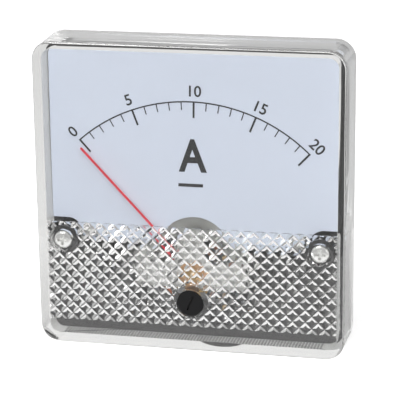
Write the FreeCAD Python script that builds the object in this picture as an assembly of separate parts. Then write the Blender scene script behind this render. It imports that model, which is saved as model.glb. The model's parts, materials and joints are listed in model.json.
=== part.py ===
import FreeCAD, Part
import math
import os

V = FreeCAD.Vector
os.makedirs("parts", exist_ok=True)

# Front cover: x to the right, z up, the front looks along -y, panel plane at y = 0
cover_width = 80.0
cover_depth = 14.0
cover_draft = 1.5
cavity_draft = 0.2
corner_radius = 5.0
cover_edge_radius = 0.5
cover_wall = 2.4
window_thickness = 2.5
fit_gap = 0.05
thread_gap = 0.02
screw_gap = 0.1

# Pyramid pattern on the back of the window
pattern_pitch = 3.29
pattern_rows = 8
pattern_rise = 12.6
pyramid_height = 0.9
pattern_root = 0.6

# Cover screws and their sunk sleeves
cover_screw_edge = 6.7
cover_screw_rise = 7.9
cover_screw_head_radius = 2.3
cover_screw_head_depth = 0.6
cover_screw_head_height = 1.5
cover_screw_radius = 1.5
cover_screw_length = 6.5
sleeve_recess_gap = 0.64
sleeve_wall = 0.86
sleeve_floor = 1.3

# Zero adjuster in the cover
adjuster_drop = 7.15
adjuster_head_radius = 3.45
adjuster_head_bevel = 0.12
adjuster_head_depth = 0.8
adjuster_head_height = 1.75
adjuster_recess_gap = 0.4
adjuster_recess_depth = 1.2
adjuster_sleeve_wall = 0.7
adjuster_stem_radius = 1.95
adjuster_floor = 1.55
adjuster_collar_rise = 0.4
adjuster_collar_height = 0.35
adjuster_slot_width = 0.5
adjuster_slot_depth = 0.7
adjuster_slot_reach = 2.0
adjuster_slot_turn = 22.0
crank_pin_radius = 0.4
crank_offset = 0.6
crank_slot_gap = 0.12
crank_pin_length = 0.9

# Base: square tray, round barrel
tray_gap = 0.3
tray_corner_radius = 2.3
flange_thickness = 3.0
lip_width = 0.9
lip_thickness = 1.5
rim_width = 2.4
lower_rim_rise = 1.3
rim_step_gap = 0.5
barrel_side_gap = 5.05
barrel_wall = 1.65
pivot_barrel_gap = 10.6
barrel_length = 33.0
barrel_floor = 3.0
barrel_chamfer = 1.0
cover_boss_wall = 1.9

# Dial plate
dial_depth = 7.6
dial_thickness = 0.5
dial_notch_side_gap = 0.4
dial_notch_top_gap = 1.0
dial_notch_radius = 4.0
dial_bottom_rise = 7.6
dial_arch_rise = 4.55
dial_arch_radius = 9.5
dial_screw_inset = 2.3
dial_screw_rise = 1.8
dial_screw_radius = 1.0
dial_screw_head_radius = 1.9
dial_screw_head_height = 1.0
dial_screw_length = 5.0
dial_boss_wall = 1.6
dial_boss_length = 12.0
dial_boss_rib = 1.2

# Needle and its stops
needle_rest_angle = 43.0
needle_gap = 1.1
needle_thickness = 0.4
needle_top_gap = 14.5
needle_width = 0.5
needle_root_width = 1.1
needle_crank_start = 4.6
needle_crank_end = 7.4
needle_bend_lap = 0.24
needle_neck = 11.8
stop_past_rest = 7.3
stop_radial = 15.5
stop_pin_radius = 0.4
stop_rise = 2.0

# Moving coil, core and ring, measured back from the dial's back face
hub_gap = 0.15
hub_thickness = 0.4
hub_radius = 0.95
balance_arm_length = 6.0
balance_arm_width = 0.7
balance_weight_radius = 0.8
balance_weight_at = 5.1
balance_weight_front = 0.15
balance_weight_back = 0.5
tail_weight_radius = 1.5
tail_weight_back = 1.11
hub_front_rise = 0.2
hub_back_rise = 0.4
coil_front_gap = 3.95
coil_core_gap = 0.3
coil_ring_gap = 0.36
coil_half_thickness = 2.0
winding_depth = 0.6
winding_side = 0.85
former_sheet = 0.15
former_margin = 0.1
core_radius = 6.0
core_end_gap = 0.4
ring_wall = 2.1
core_length = 10.4
core_proud = 0.2
spacer_width = 2.4
pivot_pin_radius = 0.25
pivot_disc_radius = 1.5
pivot_disc_height = 0.4
spring_collet_radius = 0.8
spring_collet_height = 0.8
spring_collet_gap = 0.3
front_pin_gap = 0.1
rear_collet_gap = 0.35
rear_screw_gap = 0.4

# Movement frame
frame_plate_side = 2.0
frame_plate_drop = 4.5
frame_plate_rise = 3.0
frame_plate_thickness = 1.5
frame_plate_gap = 2.05
frame_corner_radius = 2.0
pillar_thickness = 4.5
pillar_lap = 0.4
pillar_half_height = 3.0
ring_ledge_gap = 0.4
arch_plate_gap = 0.6
arch_plate_width = 4.4
arch_plate_thickness = 1.3
movement_screw_inset = 3.0
movement_screw_rise = 7.5
movement_screw_radius = 1.25
movement_screw_head_radius = 2.1
movement_screw_head_height = 1.1
movement_screw_length = 7.0
movement_boss_wall = 1.35

# Bridge, bearing screws, zero lever and hairsprings
bridge_gap = 0.4
bridge_thickness = 0.65
bridge_half_height = 3.3
tongue_radius = 4.0
tongue_rise = 11.6
bridge_screw_radius = 0.9
bridge_screw_head_radius = 1.7
bridge_screw_head_height = 0.9
bridge_screw_length = 4.0
jewel_screw_radius = 1.1
jewel_screw_rise = 0.25
jewel_nut_width = 3.4
jewel_nut_height = 0.7
jewel_cup_depth = 0.9
jewel_slot_width = 0.35
jewel_slot_depth = 0.4
lever_thickness = 0.35
lever_ring_radius = 3.2
lever_arm_width = 3.6
lever_past_adjuster = 0.65
lever_tab_width = 1.2
lever_tab_gap = 0.45
lever_tab_thickness = 0.4
anchor_foot = 2.2
spring_strip = 0.12
spring_height = 0.4
spring_turns = 4

# Terminals and mounting studs
terminal_x = 14.0
terminal_pad_rim = 0.5
terminal_pad_height = 2.0
terminal_radius = 3.0
terminal_collar_wall = 1.0
terminal_collar_height = 2.5
terminal_neck_radius = 2.0
terminal_neck_length = 4.2
terminal_end_length = 2.0
tag_thickness = 0.6
tag_ring_wall = 0.5
tag_reach = 9.5
inner_nut_wall = 1.5
inner_nut_height = 2.2
outer_nut_wall = 2.0
fixing_nut_height = 3.2
terminal_nut_height = 4.2
washer_rim = 3.0
washer_thickness = 1.0
spring_washer_rim = 2.0
spring_washer_thickness = 1.4
stud_edge = 8.0
stud_radius = 1.5
stud_neck_depth = 0.25
stud_neck_length = 0.5
stud_length = 13.0
stud_root_length = 2.0
stud_root_rim = 0.7
stud_boss_wall = 1.8

# Screw, nut and washer shapes, as shares of the piece's own height or radius
crown_height = 0.35
crown_flat = 0.7
crown_shoulder = 0.93
crown_shoulder_drop = 0.45
screw_point = 0.5
recess_depth = 0.6
cross_width = 0.3
cross_reach = 0.6
slot_half_width = 0.13
nut_bevel = 0.12
terminal_bevel = 0.2
stud_bevel = 0.3
washer_split = 0.35
washer_lean = 0.5

# Series resistor and leads
bobbin_z = 16.0
bobbin_length = 13.0
bobbin_core_wall = 1.4
bobbin_winding_depth = 1.8
bobbin_flange = 1.2
bobbin_post_radius = 1.6
bobbin_winding_gap = 0.7
lead_radius = 0.45
lead_bend_radius = 2.0
lead_side_x = -5.0
lead_turn_drop = 0.5
lead_low_drop = 8.5
lead_rise = 5.0

# Levels along y
front_y = -cover_depth
window_back_y = front_y + window_thickness
dial_front_y = front_y + dial_depth
dial_back_y = dial_front_y + dial_thickness
needle_back_y = dial_front_y - needle_gap
needle_front_y = needle_back_y - needle_thickness
bridge_back_y = needle_front_y - bridge_gap
bridge_front_y = bridge_back_y - bridge_thickness
lever_back_y = bridge_front_y - fit_gap
lever_front_y = lever_back_y - lever_thickness
jewel_nut_front_y = lever_front_y - fit_gap - jewel_nut_height
jewel_screw_front_y = jewel_nut_front_y - jewel_screw_rise
screw_floor_y = front_y + cover_screw_head_depth + cover_screw_head_height
sleeve_back_y = screw_floor_y + sleeve_floor
adjuster_head_back_y = front_y + adjuster_head_depth + adjuster_head_height
adjuster_seat_y = adjuster_head_back_y + fit_gap
adjuster_sleeve_back_y = adjuster_seat_y + adjuster_floor
collar_front_y = adjuster_sleeve_back_y + fit_gap
collar_back_y = collar_front_y + adjuster_collar_height
tray_floor_y = -flange_thickness
floor_y = barrel_length - barrel_floor
hub_front_y = dial_back_y + hub_gap
hub_back_y = hub_front_y + hub_thickness
coil_front_y = dial_back_y + coil_front_gap
coil_end = winding_depth + former_margin + former_sheet + core_end_gap
coil_back_y = coil_front_y + core_length + 2 * coil_end
core_front_y = coil_front_y + coil_end
ring_back_y = core_front_y + core_length - core_proud
plate_front_y = coil_back_y + frame_plate_gap
plate_back_y = plate_front_y + frame_plate_thickness
collet_front_y = hub_front_y - spring_collet_gap - spring_collet_height
front_screw_back_y = collet_front_y - front_pin_gap
rear_collet_y = coil_back_y + pivot_disc_height + rear_collet_gap
rear_screw_front_y = rear_collet_y + spring_collet_height + rear_screw_gap
pad_back_y = barrel_length + terminal_pad_height
washer_y = pad_back_y + fixing_nut_height
spring_washer_y = washer_y + washer_thickness
terminal_nut_y = spring_washer_y + spring_washer_thickness

# Widths, radii and places that follow from the sizes above
rear_half = cover_width / 2
front_half = rear_half - cover_depth * math.tan(math.radians(cover_draft))
tray_half = rear_half - cover_wall - tray_gap
lip_half = tray_half + lip_width
barrel_radius = tray_half - barrel_side_gap
barrel_inner_radius = barrel_radius - barrel_wall
pivot_z = pivot_barrel_gap - barrel_inner_radius
cover_screw_x = rear_half - cover_screw_edge
cover_screw_z = pivot_z + cover_screw_rise
pattern_top_z = pivot_z + pattern_rise
adjuster_z = pivot_z - adjuster_drop
dial_bottom_z = pivot_z + dial_bottom_rise
dial_arch_z = pivot_z + dial_arch_rise
needle_tip_radius = tray_half - needle_top_gap - pivot_z
tongue_top_z = pivot_z + tongue_rise
sleeve_recess_radius = cover_screw_head_radius + sleeve_recess_gap
sleeve_radius = sleeve_recess_radius + sleeve_wall
adjuster_recess_radius = adjuster_head_radius + adjuster_recess_gap
adjuster_sleeve_radius = adjuster_recess_radius + adjuster_sleeve_wall
adjuster_collar_radius = adjuster_stem_radius + adjuster_collar_rise
cover_boss_radius = cover_screw_radius + cover_boss_wall
dial_notch_x = cover_screw_x - cover_boss_radius - dial_notch_side_gap
dial_notch_z = cover_screw_z + cover_boss_radius + dial_notch_top_gap
dial_screw_x = dial_notch_x - dial_screw_inset
dial_screw_z = dial_bottom_z + dial_screw_rise
dial_boss_radius = dial_screw_radius + dial_boss_wall
former_half_width = core_radius + coil_core_gap + former_sheet
coil_half_width = former_half_width + winding_side
ring_inner_radius = math.hypot(coil_half_width, coil_half_thickness) + coil_ring_gap
ring_outer_radius = ring_inner_radius + ring_wall
pillar_inner_x = ring_outer_radius - pillar_lap
pillar_outer_x = ring_outer_radius + pillar_thickness
ring_ledge_x = ring_inner_radius + ring_ledge_gap
arch_plate_inner_radius = ring_outer_radius + arch_plate_gap
arch_plate_outer_radius = arch_plate_inner_radius + arch_plate_width
bridge_screw_x = (arch_plate_inner_radius + pillar_outer_x) / 2
frame_plate_half = pillar_outer_x + frame_plate_side
movement_screw_x = frame_plate_half - movement_screw_inset
movement_screw_z = pivot_z + movement_screw_rise
movement_boss_radius = movement_screw_radius + movement_boss_wall
frame_plate_top = movement_screw_z + frame_plate_rise
frame_plate_bottom = pivot_z - frame_plate_drop
lever_slot_half = crank_pin_radius + crank_slot_gap
lever_tab_radius = bridge_half_height + lever_tab_gap
spring_inner_radius = spring_collet_radius + spring_strip / 2
spring_outer_radius = lever_tab_radius - spring_strip / 2
washer_radius = terminal_radius + washer_rim
spring_washer_radius = terminal_radius + spring_washer_rim
terminal_pad_radius = washer_radius + terminal_pad_rim
terminal_collar_width = 2 * (terminal_radius + terminal_collar_wall)
inner_nut_width = 2 * (terminal_neck_radius + inner_nut_wall)
outer_nut_width = 2 * (terminal_radius + outer_nut_wall)
tag_half = terminal_neck_radius + tag_ring_wall
stud_at = rear_half - stud_edge
stud_neck_radius = stud_radius - stud_neck_depth
stud_root_radius = stud_radius + stud_root_rim
stud_boss_radius = stud_root_radius + stud_boss_wall
bobbin_core_radius = bobbin_post_radius + bobbin_core_wall
bobbin_radius = bobbin_core_radius + bobbin_winding_depth + bobbin_winding_gap
sides = (-1, 1)


def rod(radius, y0, y1, x=0.0, z=0.0):
    return Part.makeCylinder(radius, y1 - y0, V(x, y0, z), V(0, 1, 0))


def tube(outer, inner, y0, y1, x=0.0, z=0.0):
    return rod(outer, y0, y1, x, z).cut(rod(inner, y0, y1, x, z))


def block(x0, x1, y0, y1, z0, z1):
    return Part.makeBox(x1 - x0, y1 - y0, z1 - z0, V(x0, y0, z0))


def polygon(points, y0, y1):
    corners = [V(x, y0, z) for x, z in points]
    corners.append(corners[0])
    return Part.Face(Part.makePolygon(corners)).extrude(V(0, y1 - y0, 0))


def rounded_wire(half_width, half_height, radius, y, x=0.0, z=0.0):
    bow = radius * (1 - math.sqrt(0.5))
    edges = []
    for turn in range(4):
        a, b = (half_width, half_height) if turn % 2 == 0 else (half_height, half_width)
        run = [(a, -b + radius), (a, b - radius), (a - bow, b - bow), (a - radius, b)]
        c = round(math.cos(turn * math.pi / 2))
        s = round(math.sin(turn * math.pi / 2))
        p = [V(x + u * c - w * s, y, z + u * s + w * c) for u, w in run]
        edges.append(Part.makeLine(p[0], p[1]))
        edges.append(Part.Arc(p[1], p[2], p[3]).toShape())
    return Part.Wire(edges)


def rounded_block(half_width, half_height, radius, y0, y1, x=0.0, z=0.0):
    face = Part.Face(rounded_wire(half_width, half_height, radius, y0, x, z))
    return face.extrude(V(0, y1 - y0, 0))


def frustum(half0, half1, radius0, radius1, y0, y1):
    wires = [rounded_wire(half0, half0, radius0, y0), rounded_wire(half1, half1, radius1, y1)]
    return Part.makeLoft(wires, True, True)


def revolved(profile, x=0.0, z=0.0):
    corners = [V(r, y, 0) for r, y in profile]
    corners.append(corners[0])
    solid = Part.Face(Part.makePolygon(corners)).revolve(V(0, 0, 0), V(0, 1, 0), 360)
    solid.translate(V(x, 0, z))
    return solid


def hexagon(width, y0, y1, x=0.0, z=0.0, chamfer=0.0):
    reach = width / math.sqrt(3)
    points = []
    for k in range(6):
        angle = math.radians(60 * k + 30)
        points.append((x + reach * math.cos(angle), z + reach * math.sin(angle)))
    prism = polygon(points, y0, y1)
    if chamfer > 0:
        c = chamfer
        flat = reach - 2 * c
        profile = [(0, y0), (flat, y0), (reach, y0 + c), (reach, y1 - c), (flat, y1), (0, y1)]
        prism = prism.common(revolved(profile, x, z))
    return prism


def turned_about(shape, degrees, z):
    copy = shape.copy()
    copy.rotate(V(0, 0, z), V(0, 1, 0), degrees)
    return copy


def cross_recess(width, reach, y0, y1, x, z):
    across = block(x - reach, x + reach, y0, y1, z - width / 2, z + width / 2)
    return across.fuse(block(x - width / 2, x + width / 2, y0, y1, z - reach, z + reach))


def pan_screw(x, z, head_y, head_radius, head_height, radius, length, recess):
    crown = head_height * crown_height
    top = head_y - head_height
    point = radius * screw_point
    profile = [
        (0, top),
        (head_radius * crown_flat, top),
        (head_radius * crown_shoulder, top + crown * crown_shoulder_drop),
        (head_radius, top + crown),
        (head_radius, head_y),
        (radius, head_y),
        (radius, head_y + length - point),
        (radius - point, head_y + length),
        (0, head_y + length),
    ]
    screw = revolved(profile, x, z)
    floor = top + head_height * recess_depth
    if recess == "cross":
        cut = cross_recess(head_radius * cross_width, head_radius * cross_reach, top, floor, x, z)
    else:
        half = head_radius * slot_half_width
        cut = block(x - head_radius, x + head_radius, top, floor, z - half, z + half)
    return screw.cut(cut)


def pyramid_field(x_half, z0, z1):
    side = pattern_pitch / math.sqrt(2)
    slabs = []
    for angle in (45, -45):
        count = int(math.ceil((x_half + abs(z0)) / side)) + 1
        points = [V(-count * side, 0, 0)]
        for k in range(-count, count):
            points.append(V(k * side, pattern_root, 0))
            points.append(V((k + 0.5) * side, pattern_root + pyramid_height, 0))
        points.append(V(count * side, pattern_root, 0))
        points.append(V(count * side, 0, 0))
        points.append(points[0])
        length = 2 * count * side
        slab = Part.Face(Part.makePolygon(points)).extrude(V(0, 0, length))
        slab.translate(V(0, 0, -length / 2))
        slab.rotate(V(0, 0, 0), V(0, 1, 0), angle)
        slab.translate(V(0, window_back_y - pattern_root, z1))
        reach = pattern_root + pyramid_height
        back = window_back_y + pyramid_height
        slabs.append(slab.common(block(-x_half, x_half, back - reach, back, z0, z1)))
    return slabs[0].common(slabs[1])


def front_cover():
    front_corner = corner_radius - rear_half + front_half
    outer = frustum(rear_half, front_half, corner_radius, front_corner, 0, front_y)
    rim = [e for e in outer.Edges if e.BoundBox.YMax < front_y + cover_edge_radius / 2]
    outer = outer.makeFillet(cover_edge_radius, rim)
    inner_rear = rear_half - cover_wall
    taper = (cover_depth - window_thickness) * math.tan(math.radians(cavity_draft))
    inner_front = inner_rear - taper
    inner_corner = corner_radius - cover_wall
    cavity = frustum(inner_rear, inner_front, inner_corner, inner_corner - taper, 0, window_back_y)
    rebate_half = lip_half + fit_gap
    rebate_corner = tray_corner_radius + lip_width
    rebate = rounded_block(rebate_half, rebate_half, rebate_corner, -lip_thickness - fit_gap, 0)
    cover = outer.cut(cavity).cut(rebate)
    bottom = pattern_top_z - pattern_rows * pattern_pitch
    cover = cover.fuse(pyramid_field(inner_front + cover_wall / 4, bottom, pattern_top_z))
    middle = window_back_y - window_thickness / 2
    for x in sides:
        cover = cover.fuse(rod(sleeve_radius, middle, sleeve_back_y, x * cover_screw_x, cover_screw_z))
    cover = cover.fuse(rod(adjuster_sleeve_radius, middle, adjuster_sleeve_back_y, 0, adjuster_z))
    for x in sides:
        at = x * cover_screw_x
        cover = cover.cut(rod(sleeve_recess_radius, front_y, screw_floor_y, at, cover_screw_z))
        cover = cover.cut(rod(cover_screw_radius + screw_gap, front_y, sleeve_back_y, at, cover_screw_z))
    recess_back = front_y + adjuster_recess_depth
    cover = cover.cut(rod(adjuster_recess_radius, front_y, recess_back, 0, adjuster_z))
    cover = cover.cut(rod(adjuster_head_radius + fit_gap, front_y, adjuster_seat_y, 0, adjuster_z))
    return cover.cut(rod(adjuster_stem_radius + fit_gap, front_y, adjuster_sleeve_back_y, 0, adjuster_z))


def cover_screws():
    screws = []
    for x in sides:
        screws.append(
            pan_screw(
                x * cover_screw_x,
                cover_screw_z,
                screw_floor_y,
                cover_screw_head_radius,
                cover_screw_head_height,
                cover_screw_radius,
                cover_screw_length,
                "cross",
            )
        )
    return screws


def zero_adjuster():
    head_front = front_y + adjuster_head_depth
    bevel = adjuster_head_bevel
    profile = [
        (0, head_front),
        (adjuster_head_radius - bevel, head_front),
        (adjuster_head_radius, head_front + bevel),
        (adjuster_head_radius, adjuster_head_back_y),
        (adjuster_stem_radius, adjuster_head_back_y),
        (adjuster_stem_radius, collar_front_y),
        (adjuster_collar_radius, collar_front_y),
        (adjuster_stem_radius, collar_back_y),
        (0, collar_back_y),
    ]
    body = revolved(profile, 0, adjuster_z)
    pin_z = adjuster_z + crank_offset
    pin_end = collar_back_y + crank_pin_length
    body = body.fuse(rod(crank_pin_radius, collar_front_y, pin_end, 0, pin_z))
    half = adjuster_slot_width / 2
    low = adjuster_z - adjuster_slot_reach
    high = adjuster_z + adjuster_slot_reach
    slot = block(-half, half, head_front, head_front + adjuster_slot_depth, low, high)
    return body.cut(turned_about(slot, adjuster_slot_turn, adjuster_z))


def rim_block(front, z0, z1):
    outer = rounded_block(tray_half, tray_half, tray_corner_radius, front, tray_floor_y)
    inner_half = tray_half - rim_width
    inner = rounded_block(inner_half, inner_half, tray_corner_radius, front, tray_floor_y)
    return outer.cut(inner).common(block(-tray_half, tray_half, front, tray_floor_y, z0, z1))


def base_housing():
    base = rounded_block(tray_half, tray_half, tray_corner_radius, tray_floor_y, 0)
    lip_corner = tray_corner_radius + lip_width
    base = base.fuse(rounded_block(lip_half, lip_half, lip_corner, -lip_thickness, 0))
    lower_front = dial_back_y - lower_rim_rise
    split_z = dial_bottom_z - rim_step_gap
    base = base.fuse(rim_block(dial_back_y, split_z, tray_half))
    base = base.fuse(rim_block(lower_front, -tray_half, split_z))
    c = barrel_chamfer
    profile = [
        (0, tray_floor_y),
        (barrel_radius, tray_floor_y),
        (barrel_radius, barrel_length - c),
        (barrel_radius - c, barrel_length),
        (0, barrel_length),
    ]
    base = base.fuse(revolved(profile))
    for x in sides:
        base = base.fuse(rod(terminal_pad_radius, floor_y, pad_back_y, x * terminal_x, 0))
    base = base.cut(rod(barrel_inner_radius, dial_back_y, floor_y))
    for x in sides:
        base = base.fuse(rod(cover_boss_radius, sleeve_back_y, 0, x * cover_screw_x, cover_screw_z))
        dial_end = dial_back_y + dial_boss_length
        base = base.fuse(rod(dial_boss_radius, dial_back_y, dial_end, x * dial_screw_x, dial_screw_z))
        a, b = sorted((x * dial_screw_x, x * barrel_radius))
        half = dial_boss_rib / 2
        rib = block(a, b, tray_floor_y, dial_end, dial_screw_z - half, dial_screw_z + half)
        base = base.fuse(rib.common(rod(barrel_radius, tray_floor_y, dial_end)))
        boss_end = floor_y + barrel_floor / 2
        boss = rod(movement_boss_radius, plate_back_y, boss_end, x * movement_screw_x, movement_screw_z)
        base = base.fuse(boss)
        for z in sides:
            base = base.fuse(rod(stud_boss_radius, dial_back_y, 0, x * stud_at, z * stud_at))
    base = base.common(block(-lip_half, lip_half, front_y, pad_back_y, -lip_half, lip_half))
    post_front = floor_y - bobbin_length
    base = base.fuse(rod(bobbin_post_radius, post_front, floor_y + barrel_floor / 2, 0, bobbin_z))
    for x in sides:
        end = screw_floor_y + cover_screw_length + fit_gap
        hole = cover_screw_radius + thread_gap
        base = base.cut(rod(hole, sleeve_back_y, end, x * cover_screw_x, cover_screw_z))
        end = dial_front_y + dial_screw_length + fit_gap
        hole = dial_screw_radius + thread_gap
        base = base.cut(rod(hole, dial_back_y, end, x * dial_screw_x, dial_screw_z))
        end = plate_front_y + movement_screw_length + fit_gap
        hole = movement_screw_radius + thread_gap
        base = base.cut(rod(hole, plate_back_y, end, x * movement_screw_x, movement_screw_z))
        base = base.cut(rod(terminal_radius + fit_gap, floor_y, pad_back_y, x * terminal_x, 0))
        for z in sides:
            base = base.cut(stud_root(x * stud_at, z * stud_at, 0, thread_gap))
    return base


def dial_plate():
    outer = rounded_block(tray_half, tray_half, tray_corner_radius, dial_front_y, dial_back_y)
    dial = outer.common(block(-tray_half, tray_half, dial_front_y, dial_back_y, dial_bottom_z, tray_half))
    for x in sides:
        out = tray_half * x
        a = dial_notch_x * x
        b = (dial_notch_x + dial_notch_radius) * x
        low = dial_bottom_z - dial_notch_radius
        notch = block(min(b, out), max(b, out), dial_front_y, dial_back_y, low, dial_notch_z)
        corner_z = dial_notch_z - dial_notch_radius
        notch = notch.fuse(block(min(a, b), max(a, b), dial_front_y, dial_back_y, low, corner_z))
        notch = notch.fuse(rod(dial_notch_radius, dial_front_y, dial_back_y, b, corner_z))
        dial = dial.cut(notch)
        hole = dial_screw_radius + screw_gap
        dial = dial.cut(rod(hole, dial_front_y, dial_back_y, x * dial_screw_x, dial_screw_z))
        sx, sz = stop_place(x)
        dial = dial.cut(rod(stop_pin_radius + thread_gap, dial_front_y, dial_back_y, sx, sz))
    return dial.cut(rod(dial_arch_radius, dial_front_y, dial_back_y, 0, dial_arch_z))


def dial_screws():
    screws = []
    for x in sides:
        screws.append(
            pan_screw(
                x * dial_screw_x,
                dial_screw_z,
                dial_front_y,
                dial_screw_head_radius,
                dial_screw_head_height,
                dial_screw_radius,
                dial_screw_length,
                "cross",
            )
        )
    return screws


def stop_place(side):
    angle = math.radians(needle_rest_angle + stop_past_rest)
    return side * stop_radial * math.sin(angle), pivot_z + stop_radial * math.cos(angle)


def needle_stops():
    pins = []
    for side in sides:
        x, z = stop_place(side)
        pins.append(rod(stop_pin_radius, dial_front_y - stop_rise, dial_back_y, x, z))
    return pins


def movement_frame():
    half_height = (frame_plate_top - frame_plate_bottom) / 2
    middle_z = (frame_plate_top + frame_plate_bottom) / 2
    corner = frame_corner_radius
    frame = rounded_block(frame_plate_half, half_height, corner, plate_front_y, plate_back_y, 0, middle_z)
    arch_back = dial_back_y + arch_plate_thickness
    reach = arch_plate_outer_radius
    arch = tube(reach, arch_plate_inner_radius, dial_back_y, arch_back, 0, pivot_z)
    arch = arch.common(block(-reach, reach, dial_back_y, arch_back, pivot_z, pivot_z + reach))
    low = pivot_z - pillar_half_height
    high = pivot_z + pillar_half_height
    for x in sides:
        a, b = sorted((x * pillar_inner_x, x * pillar_outer_x))
        pillar = block(a, b, bridge_back_y, plate_front_y, low, high)
        a, b = sorted((x * ring_ledge_x, x * pillar_outer_x))
        pillar = pillar.fuse(block(a, b, ring_back_y, plate_front_y, low, high))
        frame = frame.fuse(pillar)
    frame = frame.fuse(arch)
    frame = frame.cut(rod(ring_outer_radius + thread_gap, core_front_y, ring_back_y, 0, pivot_z))
    frame = frame.cut(rod(arch_plate_inner_radius, bridge_back_y, core_front_y, 0, pivot_z))
    frame = frame.cut(rod(jewel_screw_radius + thread_gap, plate_front_y, plate_back_y, 0, pivot_z))
    for x in sides:
        hole = movement_screw_radius + screw_gap
        frame = frame.cut(rod(hole, plate_front_y, plate_back_y, x * movement_screw_x, movement_screw_z))
        end = bridge_front_y + bridge_screw_length + fit_gap
        hole = bridge_screw_radius + thread_gap
        frame = frame.cut(rod(hole, bridge_back_y, end, x * bridge_screw_x, pivot_z))
    return frame


def movement_screws():
    screws = []
    for x in sides:
        screws.append(
            pan_screw(
                x * movement_screw_x,
                movement_screw_z,
                plate_front_y,
                movement_screw_head_radius,
                movement_screw_head_height,
                movement_screw_radius,
                movement_screw_length,
                "slot",
            )
        )
    return screws


def yoke_ring():
    return tube(ring_outer_radius, ring_inner_radius, core_front_y, ring_back_y, 0, pivot_z)


def magnet_core():
    return rod(core_radius, core_front_y, core_front_y + core_length, 0, pivot_z)


def core_spacers():
    keys = []
    outer = ring_inner_radius - thread_gap
    gap = tube(outer, core_radius + thread_gap, core_front_y, ring_back_y, 0, pivot_z)
    half = spacer_width / 2
    for side in sides:
        z0, z1 = sorted((pivot_z, pivot_z + side * ring_outer_radius))
        keys.append(gap.common(block(-half, half, core_front_y, ring_back_y, z0, z1)))
    return keys


def at_rest(shape):
    return turned_about(shape, -needle_rest_angle, pivot_z)


def coil_box(half_width, half_thickness, inset):
    front = coil_front_y + inset
    back = coil_back_y - inset
    return block(-half_width, half_width, front, back, pivot_z - half_thickness, pivot_z + half_thickness)


def coil_former():
    lip = coil_half_thickness
    outer = coil_box(former_half_width, lip, winding_depth)
    side = former_half_width - former_sheet
    inner = coil_box(side, lip, winding_depth + former_sheet + former_margin)
    return at_rest(outer.cut(inner))


def coil_winding():
    width = coil_half_thickness - former_margin
    outer = coil_box(coil_half_width, width, 0)
    edges = [e for e in outer.Edges if abs(e.tangentAt(e.FirstParameter).z) > 0.9]
    outer = outer.makeFillet(min(winding_side, winding_depth), edges)
    return at_rest(outer.cut(coil_box(former_half_width, width, winding_depth)))


def coil_pivots():
    pins = []
    front = revolved(
        [
            (0, front_screw_back_y - jewel_cup_depth / 2),
            (pivot_pin_radius, front_screw_back_y - jewel_cup_depth / 2 + pivot_pin_radius),
            (pivot_pin_radius, collet_front_y),
            (spring_collet_radius, collet_front_y),
            (spring_collet_radius, collet_front_y + spring_collet_height),
            (pivot_pin_radius, collet_front_y + spring_collet_height),
            (pivot_pin_radius, coil_front_y - pivot_disc_height),
            (pivot_disc_radius, coil_front_y - pivot_disc_height),
            (pivot_disc_radius, coil_front_y),
            (0, coil_front_y),
        ],
        0,
        pivot_z,
    )
    pins.append(front)
    rear_tip = rear_screw_front_y + jewel_cup_depth / 2
    rear = revolved(
        [
            (0, coil_back_y),
            (pivot_disc_radius, coil_back_y),
            (pivot_disc_radius, coil_back_y + pivot_disc_height),
            (pivot_pin_radius, coil_back_y + pivot_disc_height),
            (pivot_pin_radius, rear_collet_y),
            (spring_collet_radius, rear_collet_y),
            (spring_collet_radius, rear_collet_y + spring_collet_height),
            (pivot_pin_radius, rear_collet_y + spring_collet_height),
            (pivot_pin_radius, rear_tip - pivot_pin_radius),
            (0, rear_tip),
        ],
        0,
        pivot_z,
    )
    pins.append(rear)
    return pins


def needle_hub():
    front = hub_front_y - hub_front_rise
    back = hub_back_y + hub_back_rise
    hub = rod(hub_radius, front, back, 0, pivot_z)
    half = balance_arm_width / 2
    for angle in (90, 180, 270):
        arm = block(-half, half, hub_front_y, hub_back_y, pivot_z, pivot_z + balance_arm_length)
        hub = hub.fuse(turned_about(arm, angle, pivot_z))
    hub = hub.cut(rod(pivot_pin_radius + thread_gap, front, back, 0, pivot_z))
    return at_rest(hub)


def balance_weights():
    side = (balance_weight_radius, balance_weight_back)
    tail = (tail_weight_radius, tail_weight_back)
    half = balance_arm_width / 2 + thread_gap
    front = hub_front_y - thread_gap
    back = hub_back_y + thread_gap
    weights = []
    for angle, (radius, rise) in ((90, side), (180, tail), (270, side)):
        z = pivot_z + balance_weight_at
        weight = rod(radius, hub_front_y - balance_weight_front, hub_back_y + rise, 0, z)
        weight = weight.cut(block(-half, half, front, back, z - radius, z + radius))
        weights.append(at_rest(turned_about(weight, angle, pivot_z)))
    return weights


def needle():
    t = needle_thickness
    side_view = [
        (hub_front_y, hub_radius + thread_gap),
        (hub_front_y, needle_crank_start),
        (needle_front_y, needle_crank_end),
        (needle_front_y, needle_tip_radius),
        (needle_front_y + t, needle_tip_radius),
        (needle_front_y + t, needle_crank_end + needle_bend_lap),
        (hub_front_y + t, needle_crank_start + needle_bend_lap),
        (hub_front_y + t, hub_radius + thread_gap),
    ]
    wide = needle_root_width / 2
    slim = needle_width / 2
    corners = [V(-wide, y, pivot_z + r) for y, r in side_view]
    corners.append(corners[0])
    strip = Part.Face(Part.makePolygon(corners)).extrude(V(needle_root_width, 0, 0))
    neck = pivot_z + needle_neck
    tip = pivot_z + needle_tip_radius
    plan = [
        (-wide, pivot_z),
        (-slim, neck),
        (-slim, tip - slim),
        (0, tip),
        (slim, tip - slim),
        (slim, neck),
        (wide, pivot_z),
    ]
    return at_rest(strip.common(polygon(plan, needle_front_y, hub_back_y)))


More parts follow.
